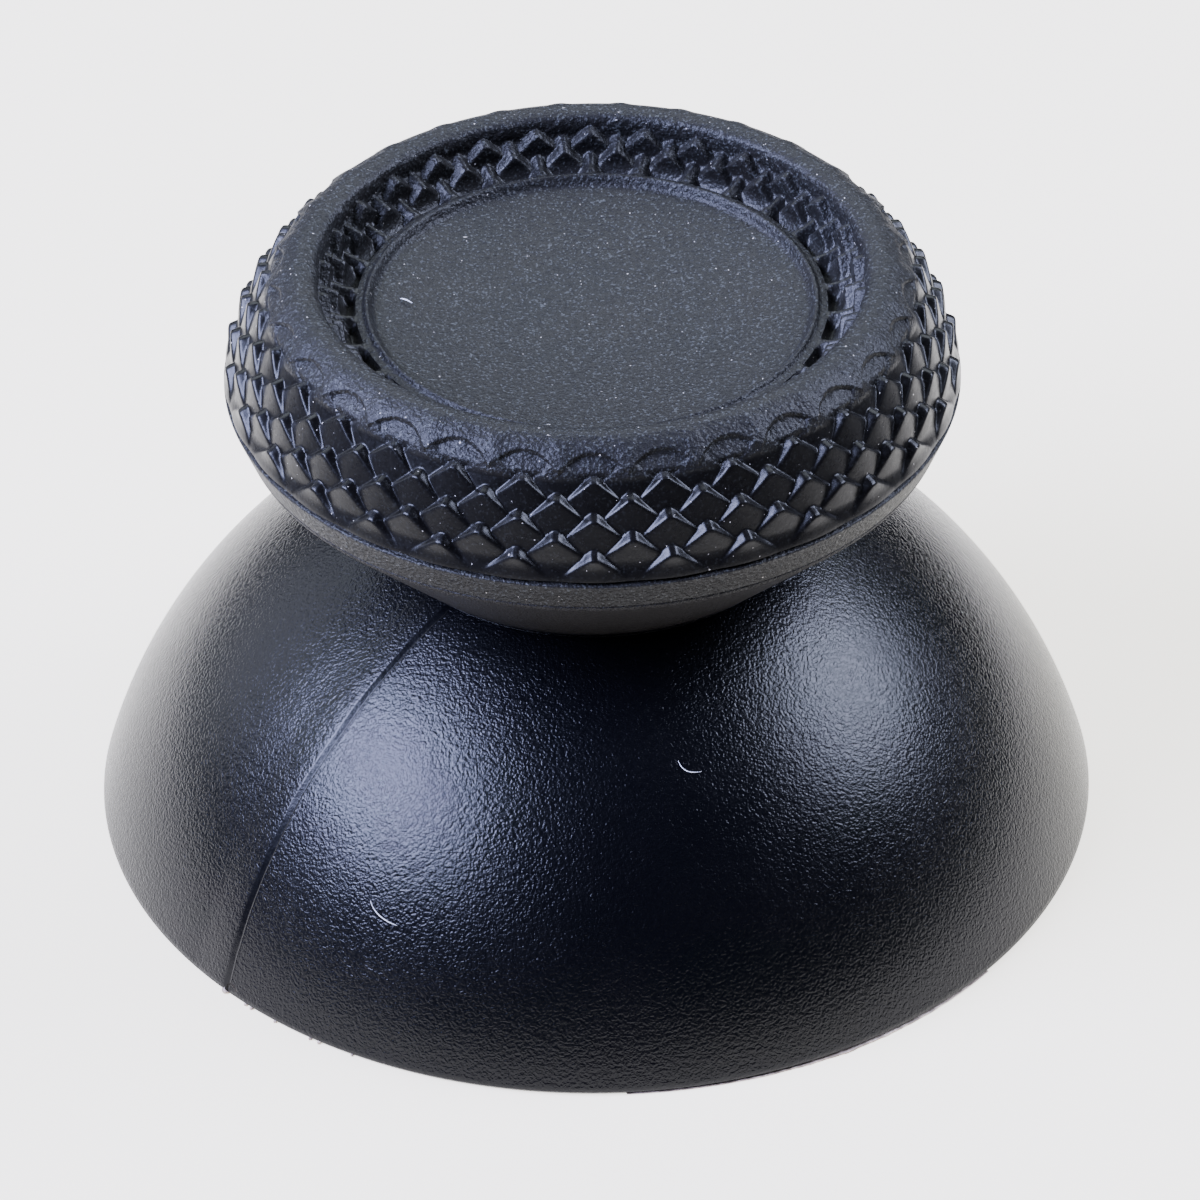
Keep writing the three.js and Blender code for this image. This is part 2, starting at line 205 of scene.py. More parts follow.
def fill(points, step):
    """Adds points along straight stretches, so that no two lie further apart than the step."""
    filled = [points[0]]
    for before, after in zip(points, points[1:]):
        count = max(1, math.ceil(math.dist(before, after) / step))
        for i in range(1, count + 1):
            share = i / count
            filled.append(tuple(a + (b - a) * share for a, b in zip(before, after)))
    return filled


def rounded(points, radius, steps=4):
    """Rounds the corners of an open outline with short quadratic curves."""
    result = [points[0]]
    for before, corner, after in zip(points, points[1:], points[2:]):
        into = min(radius, math.dist(before, corner) * ROUND_SHARE)
        out = min(radius, math.dist(corner, after) * ROUND_SHARE)
        start = [c + (b - c) * into / math.dist(before, corner) for c, b in zip(corner, before)]
        end = [c + (a - c) * out / math.dist(corner, after) for c, a in zip(corner, after)]
        for i in range(steps + 1):
            t = i / steps
            first = (1 - t) ** 2
            middle = 2 * t * (1 - t)
            last = t**2
            result.append(tuple(first * s + middle * c + last * e for s, c, e in zip(start, corner, end)))
    result.append(points[-1])
    return result


def ramp(s, start, end):
    """Smooth rise from 0 at the start to 1 at the end."""
    share = np.clip((s - start) / (end - start), 0.0, 1.0)
    return share * share * (3 - 2 * share)


def smooth_max(a, b, size):
    return (a + b + np.sqrt((a - b) ** 2 + size**2)) / 2


def smooth_min(a, b, size):
    return (a + b - np.sqrt((a - b) ** 2 + size**2)) / 2


def mesh_object(name, vertices, faces):
    mesh = bpy.data.meshes.new(name)
    mesh.from_pydata([tuple(v) for v in vertices], [], faces)
    mesh.validate()
    mesh.shade_smooth()
    piece = bpy.data.objects.new(name, mesh)
    bpy.context.scene.collection.objects.link(piece)
    return piece


def plain_rows(points, sides):
    """Rings of one radius and one height each, from an outline."""
    radii = [np.full(sides, radius) for radius, _ in points]
    heights = [np.full(sides, z) for _, z in points]
    return radii, heights


def turned(name, radii, heights, closed_start=False, closed_end=False, knurled=None):
    """Object from rings: radii and heights have a row for each ring and a column for each side."""
    radii = np.array(radii)
    heights = np.array(heights)
    rows, sides = radii.shape
    angles = FRONT + TURN * np.arange(sides) / sides
    x = radii * np.cos(angles)
    y = radii * np.sin(angles)
    vertices = np.stack([x, y, heights], axis=-1).reshape(-1, 3) * MM
    faces = []
    for row in range(rows - 1):
        here = row * sides
        above = here + sides
        for i in range(sides):
            j = (i + 1) % sides
            faces.append((here + i, here + j, above + j, above + i))
    vertices = [tuple(v) for v in vertices]
    if closed_start:
        vertices.append((0.0, 0.0, float(heights[0].mean()) * MM))
        centre = len(vertices) - 1
        faces += [(centre, (i + 1) % sides, i) for i in range(sides)]
    if closed_end:
        vertices.append((0.0, 0.0, float(heights[-1].mean()) * MM))
        centre = len(vertices) - 1
        last = (rows - 1) * sides
        faces += [(centre, last + i, last + (i + 1) % sides) for i in range(sides)]
    piece = mesh_object(name, vertices, faces)
    if knurled is not None:
        values = np.repeat(np.array(knurled, dtype=np.float32), sides)
        piece.data.attributes.new("knurled", "FLOAT", "POINT").data.foreach_set("value", values)
        piece.data.set_sharp_from_angle(angle=CREASE)
    return piece


# Hard body: from the socket's end out of its mouth, round the boss, inside the dome, over the rim and up.
domeCentre = (0.0, -sphereDrop)


def socket_rows():
    """Rings of the keyed socket, a round bore that two flats cut off."""
    angles = FRONT + TURN * np.arange(BODY_SIDES) / BODY_SIDES
    bore = SHAFT_DIAMETER / 2 + SHAFT_CLEARANCE
    flat = SHAFT_FLATS / 2 + SHAFT_CLEARANCE
    keyed = np.minimum(bore, flat / np.maximum(np.abs(np.cos(angles)), 1e-6))
    rows = [
        (0.0, BOSS_SETBACK + SOCKET_DEPTH),
        (0.0, BOSS_SETBACK + SOCKET_DEPTH / 2),
        (0.0, BOSS_SETBACK + SOCKET_LEAD_IN),
        (SOCKET_LEAD_IN, BOSS_SETBACK),
    ]
    return [keyed + grow for grow, _ in rows], [np.full(BODY_SIDES, z) for _, z in rows]


def inside_dome():
    """Outline of the boss and of the dome's inside, out to the rim."""
    inside = domeRadius - DOME_WALL
    rim_inside = math.sqrt(inside**2 - sphereDrop**2)
    root_angle = math.acos(BOSS_RADIUS / inside)
    root = polar(domeCentre, inside, root_angle)
    boss = rounded([(BOSS_RADIUS - BOSS_LAND, BOSS_SETBACK), (BOSS_RADIUS, BOSS_SETBACK), root], BOSS_ROUND)
    return boss[:-1] + arc(domeCentre, inside, root_angle, math.acos(rim_inside / inside), INSIDE_STEP)


def outside_dome():
    """Outline of the rim's face and edge and of the dome's outside, up to the neck."""
    bevel_angle = math.asin((sphereDrop + RIM_EDGE) / domeRadius)
    neck_angle = math.acos(NECK_RADIUS / domeRadius)
    dome = arc(domeCentre, domeRadius, bevel_angle, neck_angle, DOME_STEP)
    dome.insert(-1, polar(domeCentre, domeRadius, neck_angle - NECK_CREASE / domeRadius))
    return [(RIM_RADIUS - RIM_EDGE, 0.0)] + dome


def flare_and_core(neck):
    """Outline of the flared seat and of the core disc, up from the neck."""
    near_neck = polar(neck, NECK_CREASE, FLARE_ANGLE)
    land = FLANGE_LAND * (BAND_TAPER - BAND_STEP) / BAND_HEIGHT
    flare = rounded([neck, (flangeRadius - land, flareTopZ), (flangeRadius, flangeZ)], FLANGE_ROUND)
    core = [(coreRadius, flangeZ), (coreRadius, coreTopZ), (FAN_RADIUS, coreTopZ)]
    return [near_neck] + fill(flare, FLARE_STEP)[1:] + core


def body_piece():
    socket_radii, socket_heights = socket_rows()
    dome = outside_dome()
    radii, heights = plain_rows(inside_dome() + dome + flare_and_core(dome[-1]), BODY_SIDES)
    radii = socket_radii + radii
    heights = socket_heights + heights
    return turned("dome_and_stem_fine", radii, heights, closed_start=True, closed_end=True)


# Knurled ring. Its side and its inner slope each have a track, whose length s starts at the track's foot.
sideCentre = (GRIP_RADIUS - SIDE_RADIUS * math.cos(SIDE_START), ringZ - SIDE_RADIUS * math.sin(SIDE_START))
crestCentre = polar(sideCentre, SIDE_RADIUS - CREST_RADIUS, SIDE_END)
ledgeZ = crestCentre[1] + CREST_RADIUS - LEDGE_DEPTH
slopeStart = QUARTER + SLOPE_ANGLE
slopeTop = polar(crestCentre, CREST_RADIUS, slopeStart)
slopeBottomZ = ledgeZ + FILLET_RADIUS * (1 - math.cos(SLOPE_ANGLE))
slopeLength = (slopeTop[1] - slopeBottomZ) / math.sin(SLOPE_ANGLE)
slopeBottomRadius = slopeTop[0] - slopeLength * math.cos(SLOPE_ANGLE)
filletCentre = (slopeBottomRadius - FILLET_RADIUS * math.sin(SLOPE_ANGLE), ledgeZ + FILLET_RADIUS)
filletLength = FILLET_RADIUS * SLOPE_ANGLE
sideLength = SIDE_RADIUS * (SIDE_END - SIDE_START)
sideTrack = sideLength + CREST_RADIUS * (OUTER_END - SIDE_END)
slopeEnd = filletLength + slopeLength
slopeTrack = slopeEnd + CREST_RADIUS * (slopeStart - INNER_END)


def on_side(s):
    """Point over the knurl tips and the direction out of the rubber, at a length s up the ring's side."""
    if s < sideLength:
        angle = SIDE_START + s / SIDE_RADIUS
        return polar(sideCentre, SIDE_RADIUS, angle), (math.cos(angle), math.sin(angle))
    angle = SIDE_END + (s - sideLength) / CREST_RADIUS
    return polar(crestCentre, CREST_RADIUS, angle), (math.cos(angle), math.sin(angle))


def on_slope(s):
    if s > slopeEnd:
        angle = slopeStart - (s - slopeEnd) / CREST_RADIUS
        return polar(crestCentre, CREST_RADIUS, angle), (math.cos(angle), math.sin(angle))
    if s < filletLength:
        angle = s / FILLET_RADIUS - QUARTER
        return polar(filletCentre, FILLET_RADIUS, angle), (-math.cos(angle), -math.sin(angle))
    along = s - filletLength
    point = (slopeBottomRadius + along * math.cos(SLOPE_ANGLE), slopeBottomZ + along * math.sin(SLOPE_ANGLE))
    return point, (-math.sin(SLOPE_ANGLE), math.cos(SLOPE_ANGLE))


def tips_depth(u, v, lowest, lower_face, flank, edge):
    """Depth below the tips: columns of tips at whole u, rows at whole v, odd columns half a row on."""
    middle = np.round(u)
    least = np.full(u.shape, NO_TIP)
    for column in (middle - 1, middle, middle + 1):
        shift = np.mod(column, 2) * 0.5
        row = np.round(v - shift)
        aside = np.abs(u - column)
        beside = np.maximum(aside - RIDGE_FLAT, 0.0)
        across = np.sqrt(beside**2 + RIDGE_ROUND**2) - RIDGE_ROUND
        for tip in (row - 1, row, row + 1):
            up = v - tip - shift
            depth = smooth_max(lower_face(aside, up), flank(across, up), edge) - EDGE_LIFT * edge
            depth = np.where(tip + shift < lowest, NO_TIP, depth)
            least = smooth_min(least, depth, PIT_ROUND)
    return np.maximum(least, 0.0)


def side_lower(aside, up):
    below = np.maximum(-up, 0.0)
    fall = np.where(up > 0, -LOWER_START * up, LOWER_START * below / (1 + LOWER_BEND * below))
    return fall + LOWER_DOME * aside**2


def side_flank(across, up):
    return FLANK_RISE * across + RIDGE_RISE * up


def slope_lower(aside, up):
    return -SLOPE_LOWER * up


def slope_flank(across, up):
    return SLOPE_FLANK * across + SLOPE_RIDGE * up


def side_depth(u, s):
    """Depth on the side: knurls, recesses with arched ends above the even columns, and the crest's ribs."""
    row = (s - SIDE_FIRST_ROW) / SIDE_ROW_PITCH
    lowest = (LOWEST_TIP - SIDE_FIRST_ROW) / SIDE_ROW_PITCH
    depth = tips_depth(u, row, lowest, side_lower, side_flank, EDGE_ROUND)
    depth = depth * (FOOT_SHARE + (1 - FOOT_SHARE) * ramp(s, 0.0, FOOT_LENGTH))
    deepest = CREST_RECESS + (PIT_DEPTH - CREST_RECESS) * ramp(s, RECESS_START[1], RECESS_START[0])
    depth = smooth_min(depth, deepest, PIT_ROUND)
    aside = np.abs(u - 2 * np.round(u / 2))
    arch = ARC_TOP - ARC_FALL * aside**2
    depth = depth * (1 - ramp(s, arch - ARC_STEP, arch + ARC_STEP))
    beside_rib = ramp(1 - aside, *RIB_SIDES)
    along_rib = ramp(s, *RIB_START) * ramp(s, sideTrack, sideTrack - RIB_END)
    return depth + CREST_RIB * beside_rib * along_rib


def slope_depth(u, s):
    row = (s - SLOPE_FIRST_ROW) / SLOPE_ROW_PITCH
    depth = tips_depth(u, row, -SLOPE_FIRST_ROW / SLOPE_ROW_PITCH, slope_lower, slope_flank, SLOPE_EDGE)
    deepest = PIT_DEPTH * ramp(s, slopeTrack, slopeTrack - SLOPE_RUNOUT)
    return np.maximum(smooth_min(depth, deepest, PIT_ROUND), 0.0) * ramp(s, 0.0, SLOPE_FADE)


def knurled_rows(track, depth_at, end, step, sides):
    """Rows of radii and heights of a knurled field, from its foot to its head."""
    columns = 2 * KNURLS_AROUND * np.arange(sides) / sides
    radii = []
    heights = []
    count = math.ceil(end / step)
    for i in range(count + 1):
        s = end * i / count
        point, out = track(s)
        depth = depth_at(columns, np.full(sides, s))
        radii.append(point[0] - depth * out[0])
        heights.append(point[1] - depth * out[1])
    return radii, heights


# Soft grip, in six pieces: recess and band, three bands of the knurled side, crest with slope, and dish.
def band_piece():
    band_radius = GRIP_RADIUS - BAND_STEP
    groove_radius = band_radius - GROOVE_DEPTH
    outline = [
        (FAN_RADIUS, coreTopZ),
        (boreRadius, coreTopZ),
        (boreRadius, flangeZ),
        (flangeRadius - BAND_LAND, flangeZ),
        (flangeRadius, flangeZ),
        (flangeRadius + BAND_FOOT[0], flangeZ + BAND_FOOT[1]),
        (band_radius, bandTopZ),
        (groove_radius, bandTopZ + GROOVE_WIDTH * GROOVE_FLOOR[0]),
        (groove_radius, bandTopZ + GROOVE_WIDTH * GROOVE_FLOOR[1]),
        (FOOT_INSIDE + OVERLAP, ringZ + OVERLAP),
    ]
    radii, heights = plain_rows(fill(rounded(outline, BAND_ROUND, 5), BAND_RING_STEP), PLAIN_SIDES)
    return turned("rubber_band_fine", radii, heights, closed_start=True)


def side_pieces():
    """The knurled side in bands, from the foot up, each a piece of its own to keep the pieces light."""
    radii, heights = knurled_rows(on_side, side_depth, sideTrack, SIDE_STEP, SIDE_SIDES)
    foot_radii, foot_heights = plain_rows([(FOOT_INSIDE, ringZ)], SIDE_SIDES)
    radii = foot_radii + radii
    heights = foot_heights + heights
    count = len(radii)
    knurled = [1.0 - float(ramp(sideTrack * i / count, *SIDE_LOOK_END)) for i in range(count)]
    pieces = []
    for band in range(SIDE_BANDS):
        first = band * (count - 1) // SIDE_BANDS
        last = (band + 1) * (count - 1) // SIDE_BANDS + 1
        part = slice(first, last)
        name = f"rubber_side_{band + 1}_fine"
        pieces.append(turned(name, radii[part], heights[part], knurled=knurled[part]))
    return pieces


def slope_piece():
    """The crest, the knurled inner slope and the start of the ledge."""
    radii, heights = knurled_rows(on_slope, slope_depth, slopeTrack, SLOPE_STEP, SLOPE_SIDES)
    crest = plain_rows(arc(crestCentre, CREST_RADIUS, OUTER_END, INNER_END, CREST_STEP)[:-1], SLOPE_SIDES)
    ledge = plain_rows([(filletCentre[0] - LEDGE_LAP[0], ledgeZ - LEDGE_SINK)], SLOPE_SIDES)
    count = len(radii) - 1
    plain = slopeTrack - SLOPE_RUNOUT
    knurled = [0.0] * len(crest[0])
    for i in reversed(range(count + 1)):
        crest_share = float(ramp(slopeTrack * i / count, plain - SLOPE_LOOK_FADE, plain))
        knurled.append(SLOPE_LOOK - SLOPE_LOOK * crest_share)
    knurled.append(0.0)
    radii = crest[0] + radii[::-1] + ledge[0]
    heights = crest[1] + heights[::-1] + ledge[1]
    return turned("rubber_slope_fine", radii, heights, knurled=knurled)


def dish_piece():
    lip_radius = filletCentre[0] - LEDGE_WIDTH
    lip_z = ledgeZ + LIP_HEIGHT
    edge = (lip_radius - LIP_WIDTH, lip_z - LIP_DROP)
    lip = [
        (filletCentre[0] + LEDGE_LAP[1], ledgeZ - LEDGE_SINK),
        (filletCentre[0], ledgeZ),
        (lip_radius + LIP_FOOT[0], ledgeZ + LIP_FOOT[1]),
        (lip_radius, lip_z),
        (lip_radius - LIP_WIDTH / 3, lip_z),
        edge,
    ]
    dish_arc = (edge[0] ** 2 + DISH_DEPTH**2) / (2 * DISH_DEPTH)
    dish_centre = edge[1] - DISH_DEPTH + dish_arc
    dish = []
    for share in np.linspace(*DISH_SPAN, DISH_RINGS):
        radius = edge[0] * share
        dish.append((radius, dish_centre - math.sqrt(dish_arc**2 - radius**2)))
    radii, heights = plain_rows(rounded(lip + dish, LIP_ROUND, 5), PLAIN_SIDES)
    return turned("rubber_dish_fine", radii, heights, closed_end=True)


# Traces of moulding and handling: torn film under the rim, burrs where it broke off, and lint. A burr has
# an angle in degrees and a size.
FLASH_START = math.radians(-87)
FLASH_END = math.radians(-40)
FLASH_SECTIONS = 220
FLASH_INSIDE = 0.03  # how far it reaches in and out of the rim's edge before it swells
FLASH_OUTSIDE = 0.05
FLASH_WIDTH = 0.10
FLASH_THICKNESS = 0.045
FLASH_LEAST = 0.005
FLASH_SET_IN = 0.01  # how far the top of its edge is set in
FLASH_NARROW = 0.35  # share of its width away from where it is widest
FLASH_WIDEST = 0.6  # share of its length where the film is widest, and how far that swelling reaches
FLASH_SWELLING = 0.2
FLASH_RAGGED = 0.22  # how much the film's edge can change from one section to the next
FLASH_RAG_SHARE = 0.45  # share of its width that is ragged
BURR_SET_OUT = 0.04
BURR_ROUGHNESS = (0.75, 1.15)
BURR_LIFT = 0.6  # height of a burr's middle, as a share of its size
BURR_FOOT = 0.002  # no burr reaches lower than this
BURRS = (
    (223.2, 0.10),
    (226.5, 0.05),
    (227.4, 0.06),
    (231.0, 0.05),
    (236.0, 0.05),
    (237.2, 0.06),
    (241.5, 0.04),
)

# Three points of each fibre and its radius. The last number of a point is its height over the surface.
DOME_FIBRES = (
    (((-5.42, -9.42, 0.01), (-5.20, -9.74, 0.05), (-4.78, -9.98, 0.01)), 0.016),
    (((1.95, -7.92, 0.01), (2.15, -8.12, 0.05), (2.50, -8.05, 0.01)), 0.012),
)
DISH_FIBRE = (((-4.62, 0.50, 0.0), (-4.48, 0.40, 0.03), (-4.32, 0.30, 0.0)), 0.02)
DISH_RISE = 0.42  # how much higher than the dish's middle that fibre lies
FIBRE_SIDES = 6
FIBRE_STEPS = 24
FIBRE_END = 0.35  # thickness that is left towards its ends, as a share
FIBRE_TAPER = 0.05  # share of its length at each end that stays that thin


def dome_point(x, y, lift):
    z = math.sqrt((domeRadius + lift) ** 2 - x * x - y * y) - sphereDrop
    return Vector((x, y, z))


def flash_piece(chance):
    """Torn film, a thin ring sector whose outer edge is ragged."""
    edge = RIM_RADIUS - RIM_EDGE
    inner = edge - FLASH_INSIDE
    vertices = []
    faces = []
    ragged = 0.5
    for i in range(FLASH_SECTIONS + 1):
        share = i / FLASH_SECTIONS
        angle = FLASH_START + (FLASH_END - FLASH_START) * share
        ragged = min(1.0, max(0.1, ragged + chance.uniform(-FLASH_RAGGED, FLASH_RAGGED)))
        widest = math.exp(-(((share - FLASH_WIDEST) / FLASH_SWELLING) ** 2))
        swell = math.sin(math.pi * share) ** 0.5 * (FLASH_NARROW + (1 - FLASH_NARROW) * widest)
        torn = 1 - FLASH_RAG_SHARE + FLASH_RAG_SHARE * ragged
        outer = edge + FLASH_OUTSIDE + FLASH_WIDTH * swell * torn
        top = FLASH_LEAST + FLASH_THICKNESS * swell
        for radius, z in ((inner, 0.0), (outer, 0.0), (outer - FLASH_SET_IN, top), (inner, top)):
            vertices.append((radius * math.cos(angle) * MM, radius * math.sin(angle) * MM, z * MM))
    for i in range(FLASH_SECTIONS):
        here = 4 * i
        for j in range(4):
            k = (j + 1) % 4
            faces.append((here + j, here + 4 + j, here + 4 + k, here + k))
    faces.append((0, 1, 2, 3))
    last = 4 * FLASH_SECTIONS
    faces.append((last + 3, last + 2, last + 1, last))
    return mesh_object("rim_flash", vertices, faces)


def burr_piece(chance):
    """Small lumps along the rim, each a ball with its points pushed in and out."""
    radius = RIM_RADIUS - RIM_EDGE + BURR_SET_OUT
    shape = bmesh.new()
    for degrees, size in BURRS:
        angle = math.radians(degrees)
        place = Matrix.Translation((radius * math.cos(angle), radius * math.sin(angle), size * BURR_LIFT))
        made = bmesh.ops.create_icosphere(shape, subdivisions=3, radius=size, matrix=place)
        centre = place.translation
        for vertex in made["verts"]:
            vertex.co = centre + (vertex.co - centre) * chance.uniform(*BURR_ROUGHNESS)
            vertex.co.z = max(vertex.co.z, BURR_FOOT)
    bmesh.ops.scale(shape, vec=(MM, MM, MM), verts=shape.verts)
    mesh = bpy.data.meshes.new("rim_burrs")
    shape.to_mesh(mesh)
    shape.free()
    mesh.shade_smooth()
    piece = bpy.data.objects.new("rim_burrs", mesh)
    bpy.context.scene.collection.objects.link(piece)
    return piece


def fibre(points, radius):
    """Vertices and faces of a thin bent tube through three points, tapered at its ends."""
    start, middle, end = points
    bend = 2 * middle - (start + end) / 2
    vertices = []
    faces = []
    for i in range(FIBRE_STEPS + 1):
        t = i / FIBRE_STEPS
        centre = (1 - t) ** 2 * start + 2 * t * (1 - t) * bend + t**2 * end
        along = ((1 - t) * (bend - start) + t * (end - bend)).normalized()
        side = along.cross(Vector((0, 0, 1))).normalized()
        rise = side.cross(along)
        middle_share = math.sin(math.pi * min(1 - FIBRE_TAPER, max(FIBRE_TAPER, t)))
        size = radius * (FIBRE_END + (1 - FIBRE_END) * middle_share)
        for j in range(FIBRE_SIDES):
            turn = TURN * j / FIBRE_SIDES
            vertices.append((centre + (side * math.cos(turn) + rise * math.sin(turn)) * size) * MM)
    for i in range(FIBRE_STEPS):
        here = i * FIBRE_SIDES
        after = here + FIBRE_SIDES
        for j in range(FIBRE_SIDES):
            k = (j + 1) % FIBRE_SIDES
            faces.append((here + j, here + k, after + k, after + j))
    faces.append(tuple(reversed(range(FIBRE_SIDES))))
    faces.append(tuple(FIBRE_STEPS * FIBRE_SIDES + j for j in range(FIBRE_SIDES)))
    return vertices, faces


def lint_piece():
    fibres = [([dome_point(*point) for point in points], radius) for points, radius in DOME_FIBRES]
    dish_z = ledgeZ + LIP_HEIGHT - LIP_DROP - DISH_DEPTH + DISH_RISE
    points, radius = DISH_FIBRE
    fibres.append(([Vector((x, y, dish_z + lift)) for x, y, lift in points], radius))
    vertices = []
    faces = []
    for points, radius in fibres:
        more, sides = fibre(points, radius)
        faces.extend(tuple(len(vertices) + index for index in face) for face in sides)
        vertices.extend(more)
    return mesh_object("lint", vertices, faces)


# Materials. Colours are linear red, green, blue and alpha.
PLASTIC_DARK = (0.0009, 0.0010, 0.0016, 1)
PLASTIC_LIGHT = (0.0013, 0.0013, 0.0020, 1)
FLARE_BROWN = (0.0060, 0.0052, 0.0050, 1)
FLARE_START = neckZ + 0.1  # heights between which the plastic turns brown and matt
FLARE_END = neckZ + 0.5
RUBBER_COOL = (0.0056, 0.0058, 0.0062, 1)
RUBBER_WARM = (0.0085, 0.0074, 0.0064, 1)
# Darker base of the knurled field: painted shade among the knurls, on the same rubber as the crest and dish.
KNURL_SHADE_BROWN = (0.0030, 0.0027, 0.0026, 1)
SPECK_GREY = (0.13, 0.14, 0.14, 1)
DUST_PALE = (0.42, 0.39, 0.35, 1)
FILM_BROWN = (0.22, 0.17, 0.13, 1)
FILM_PALE = (0.62, 0.50, 0.40, 1)
LINT_GREY = (0.35, 0.36, 0.38, 1)
LINT_PALE = (0.75, 0.76, 0.80, 1)
FLOOR_WARM = (0.50, 0.45, 0.33, 1)
FLOOR_PALE = (0.52, 0.47, 0.35, 1)
FLOOR_DARK = (0.03, 0.03, 0.03, 1)
FLOOR_LIGHT = (1.0, 0.97, 0.92, 1)
FLOOR_GLOW = 2.1
SURFACE_IOR = 1.28
SEAM_DEPTH = 0.06
NOTCH_RADIUS = (0.10, 0.20)
NOTCH_DEPTH = 0.10
PLASTIC_GRAIN = 0.016
RUBBER_GRAIN = 0.060


class Nodes:
    """Short way to lay out a node material."""

    def __init__(self, name):
        self.material = bpy.data.materials.new(name)
        self.material.use_nodes = True
        self.tree = self.material.node_tree
        self.shader = self.tree.nodes["Principled BSDF"]

    def set(self, socket, value):
        """Links another node's output to a socket, or gives the socket a fixed value."""
        if isinstance(value, bpy.types.NodeSocket):
            self.tree.links.new(value, socket)
        else:
            socket.default_value = value

    def add(self, kind, **inputs):
        node = self.tree.nodes.new(kind)
        for key, value in inputs.items():
            self.set(node.inputs[key], value)
        return node

    def link(self, source, socket):
        self.tree.links.new(source, self.shader.inputs[socket])

    def place(self):
        return self.add("ShaderNodeTexCoord").outputs["Object"]

    def noise(self, place, size, detail=2.0, roughness=0.5):
        """Noise whose features are about that many millimetres across."""
        scale = 1 / (size * MM)
        node = self.add("ShaderNodeTexNoise", Vector=place, Scale=scale, Detail=detail, Roughness=roughness)
        return node.outputs["Fac"]

    def math(self, operation, a, b=0.0):
        node = self.tree.nodes.new("ShaderNodeMath")
        node.operation = operation
        self.set(node.inputs[0], a)
        self.set(node.inputs[1], b)
        return node.outputs[0]

    def ramp(self, value, low, high, start=0.0, end=1.0, smooth=True):
        node = self.tree.nodes.new("ShaderNodeMapRange")
        node.interpolation_type = "SMOOTHSTEP" if smooth else "LINEAR"
        self.tree.links.new(value, node.inputs["Value"])
        for key, number in (("From Min", low), ("From Max", high), ("To Min", start), ("To Max", end)):
            node.inputs[key].default_value = number
        return node.outputs[0]

    def mix(self, share, first, second):
        node = self.tree.nodes.new("ShaderNodeMix")
        node.data_type = "RGBA"
        self.set(node.inputs[0], share)
        self.set(node.inputs[6], first)
        self.set(node.inputs[7], second)
        return node.outputs[2]

    def bump(self, height, depth, normal=None):
        """Bump of that many millimetres for a height from 0 to 1."""
        node = self.add("ShaderNodeBump", Height=height, Strength=1.0, Distance=depth * MM)
        if normal is not None:
            self.tree.links.new(normal, node.inputs["Normal"])
        return node.outputs[0]


def parting_distance(n, place, x, y, z):
    """Distance in millimetres from the mould's parting plane, which wanders and leans a little."""
    across = n.math("MULTIPLY", x, PARTING_NORMAL[0] / MM)
    across = n.math("ADD", across, n.math("MULTIPLY", y, PARTING_NORMAL[1] / MM))
    wander = n.math("MULTIPLY", n.math("SUBTRACT", n.noise(place, 0.9), 0.5), 0.07)
    lean = n.ramp(z, 0.0, 5 * MM, PARTING_LEAN, 0.0, smooth=False)
    return n.math("ADD", n.math("SUBTRACT", across, PARTING_OFFSET), n.math("ADD", wander, lean))


def parting_bump(n, place, across):
    """The mould's halves meet in a narrow step and a raised lip, which the notch breaks at the rim."""
    climb = n.ramp(across, 0.0, PARTING_STEP, 0.0, 1.0, smooth=False)
    fall = n.ramp(across, PARTING_STEP, PARTING_STEP + PARTING_FALL, 1.0, 0.0)
    lip = n.ramp(n.math("ABSOLUTE", n.math("ADD", across, 0.02)), 0.0, 0.05, 0.25, 0.0)
    seam = n.bump(n.math("ADD", n.math("MINIMUM", climb, fall), lip), SEAM_DEPTH)
    notch = n.add("ShaderNodeVectorMath", Vector=place)
    notch.operation = "DISTANCE"
    notch.inputs[1].default_value = [v * MM for v in NOTCH]
    notch = n.ramp(notch.outputs["Value"], NOTCH_RADIUS[0] * MM, NOTCH_RADIUS[1] * MM)
    return n.bump(notch, NOTCH_DEPTH, seam)


def plastic():
    """Near-black plastic whose fine grain fades at the parting's step; brown and matt on the flare."""
    n = Nodes("hard_plastic")
    place = n.place()
    x, y, z = n.add("ShaderNodeSeparateXYZ", Vector=place).outputs
    across = parting_distance(n, place, x, y, z)
    grain = n.noise(place, 0.13, 2.0, 0.55)
    pits = n.ramp(n.noise(place, 0.07, 1.0), 0.35, 0.65)
    cloud = n.noise(place, 2.5, 3.0)
    flare = n.ramp(z, FLARE_START * MM, FLARE_END * MM)
    base = n.mix(cloud, PLASTIC_DARK, PLASTIC_LIGHT)
    n.link(n.mix(flare, base, FLARE_BROWN), "Base Color")
    rough = n.math("ADD", n.math("MULTIPLY", cloud, 0.4), n.math("MULTIPLY", grain, 0.6))
    rough = n.math("ADD", n.ramp(rough, 0.3, 0.7, 0.21, 0.28), n.math("MULTIPLY", flare, 0.3))
    n.link(rough, "Roughness")
    height = n.math("ADD", n.math("MULTIPLY", grain, 0.7), n.math("MULTIPLY", pits, 0.3))
    from_step = n.math("ABSOLUTE", n.math("SUBTRACT", across, PARTING_STEP / 2))
    grained = n.math("ADD", n.ramp(from_step, 0.08, 0.14, 0.2, 1.0), n.math("MULTIPLY", flare, 2.0))
    height = n.math("MULTIPLY", height, grained)
    n.link(n.bump(height, PLASTIC_GRAIN, parting_bump(n, place, across)), "Normal")
    n.shader.inputs["IOR"].default_value = SURFACE_IOR
    return n.material


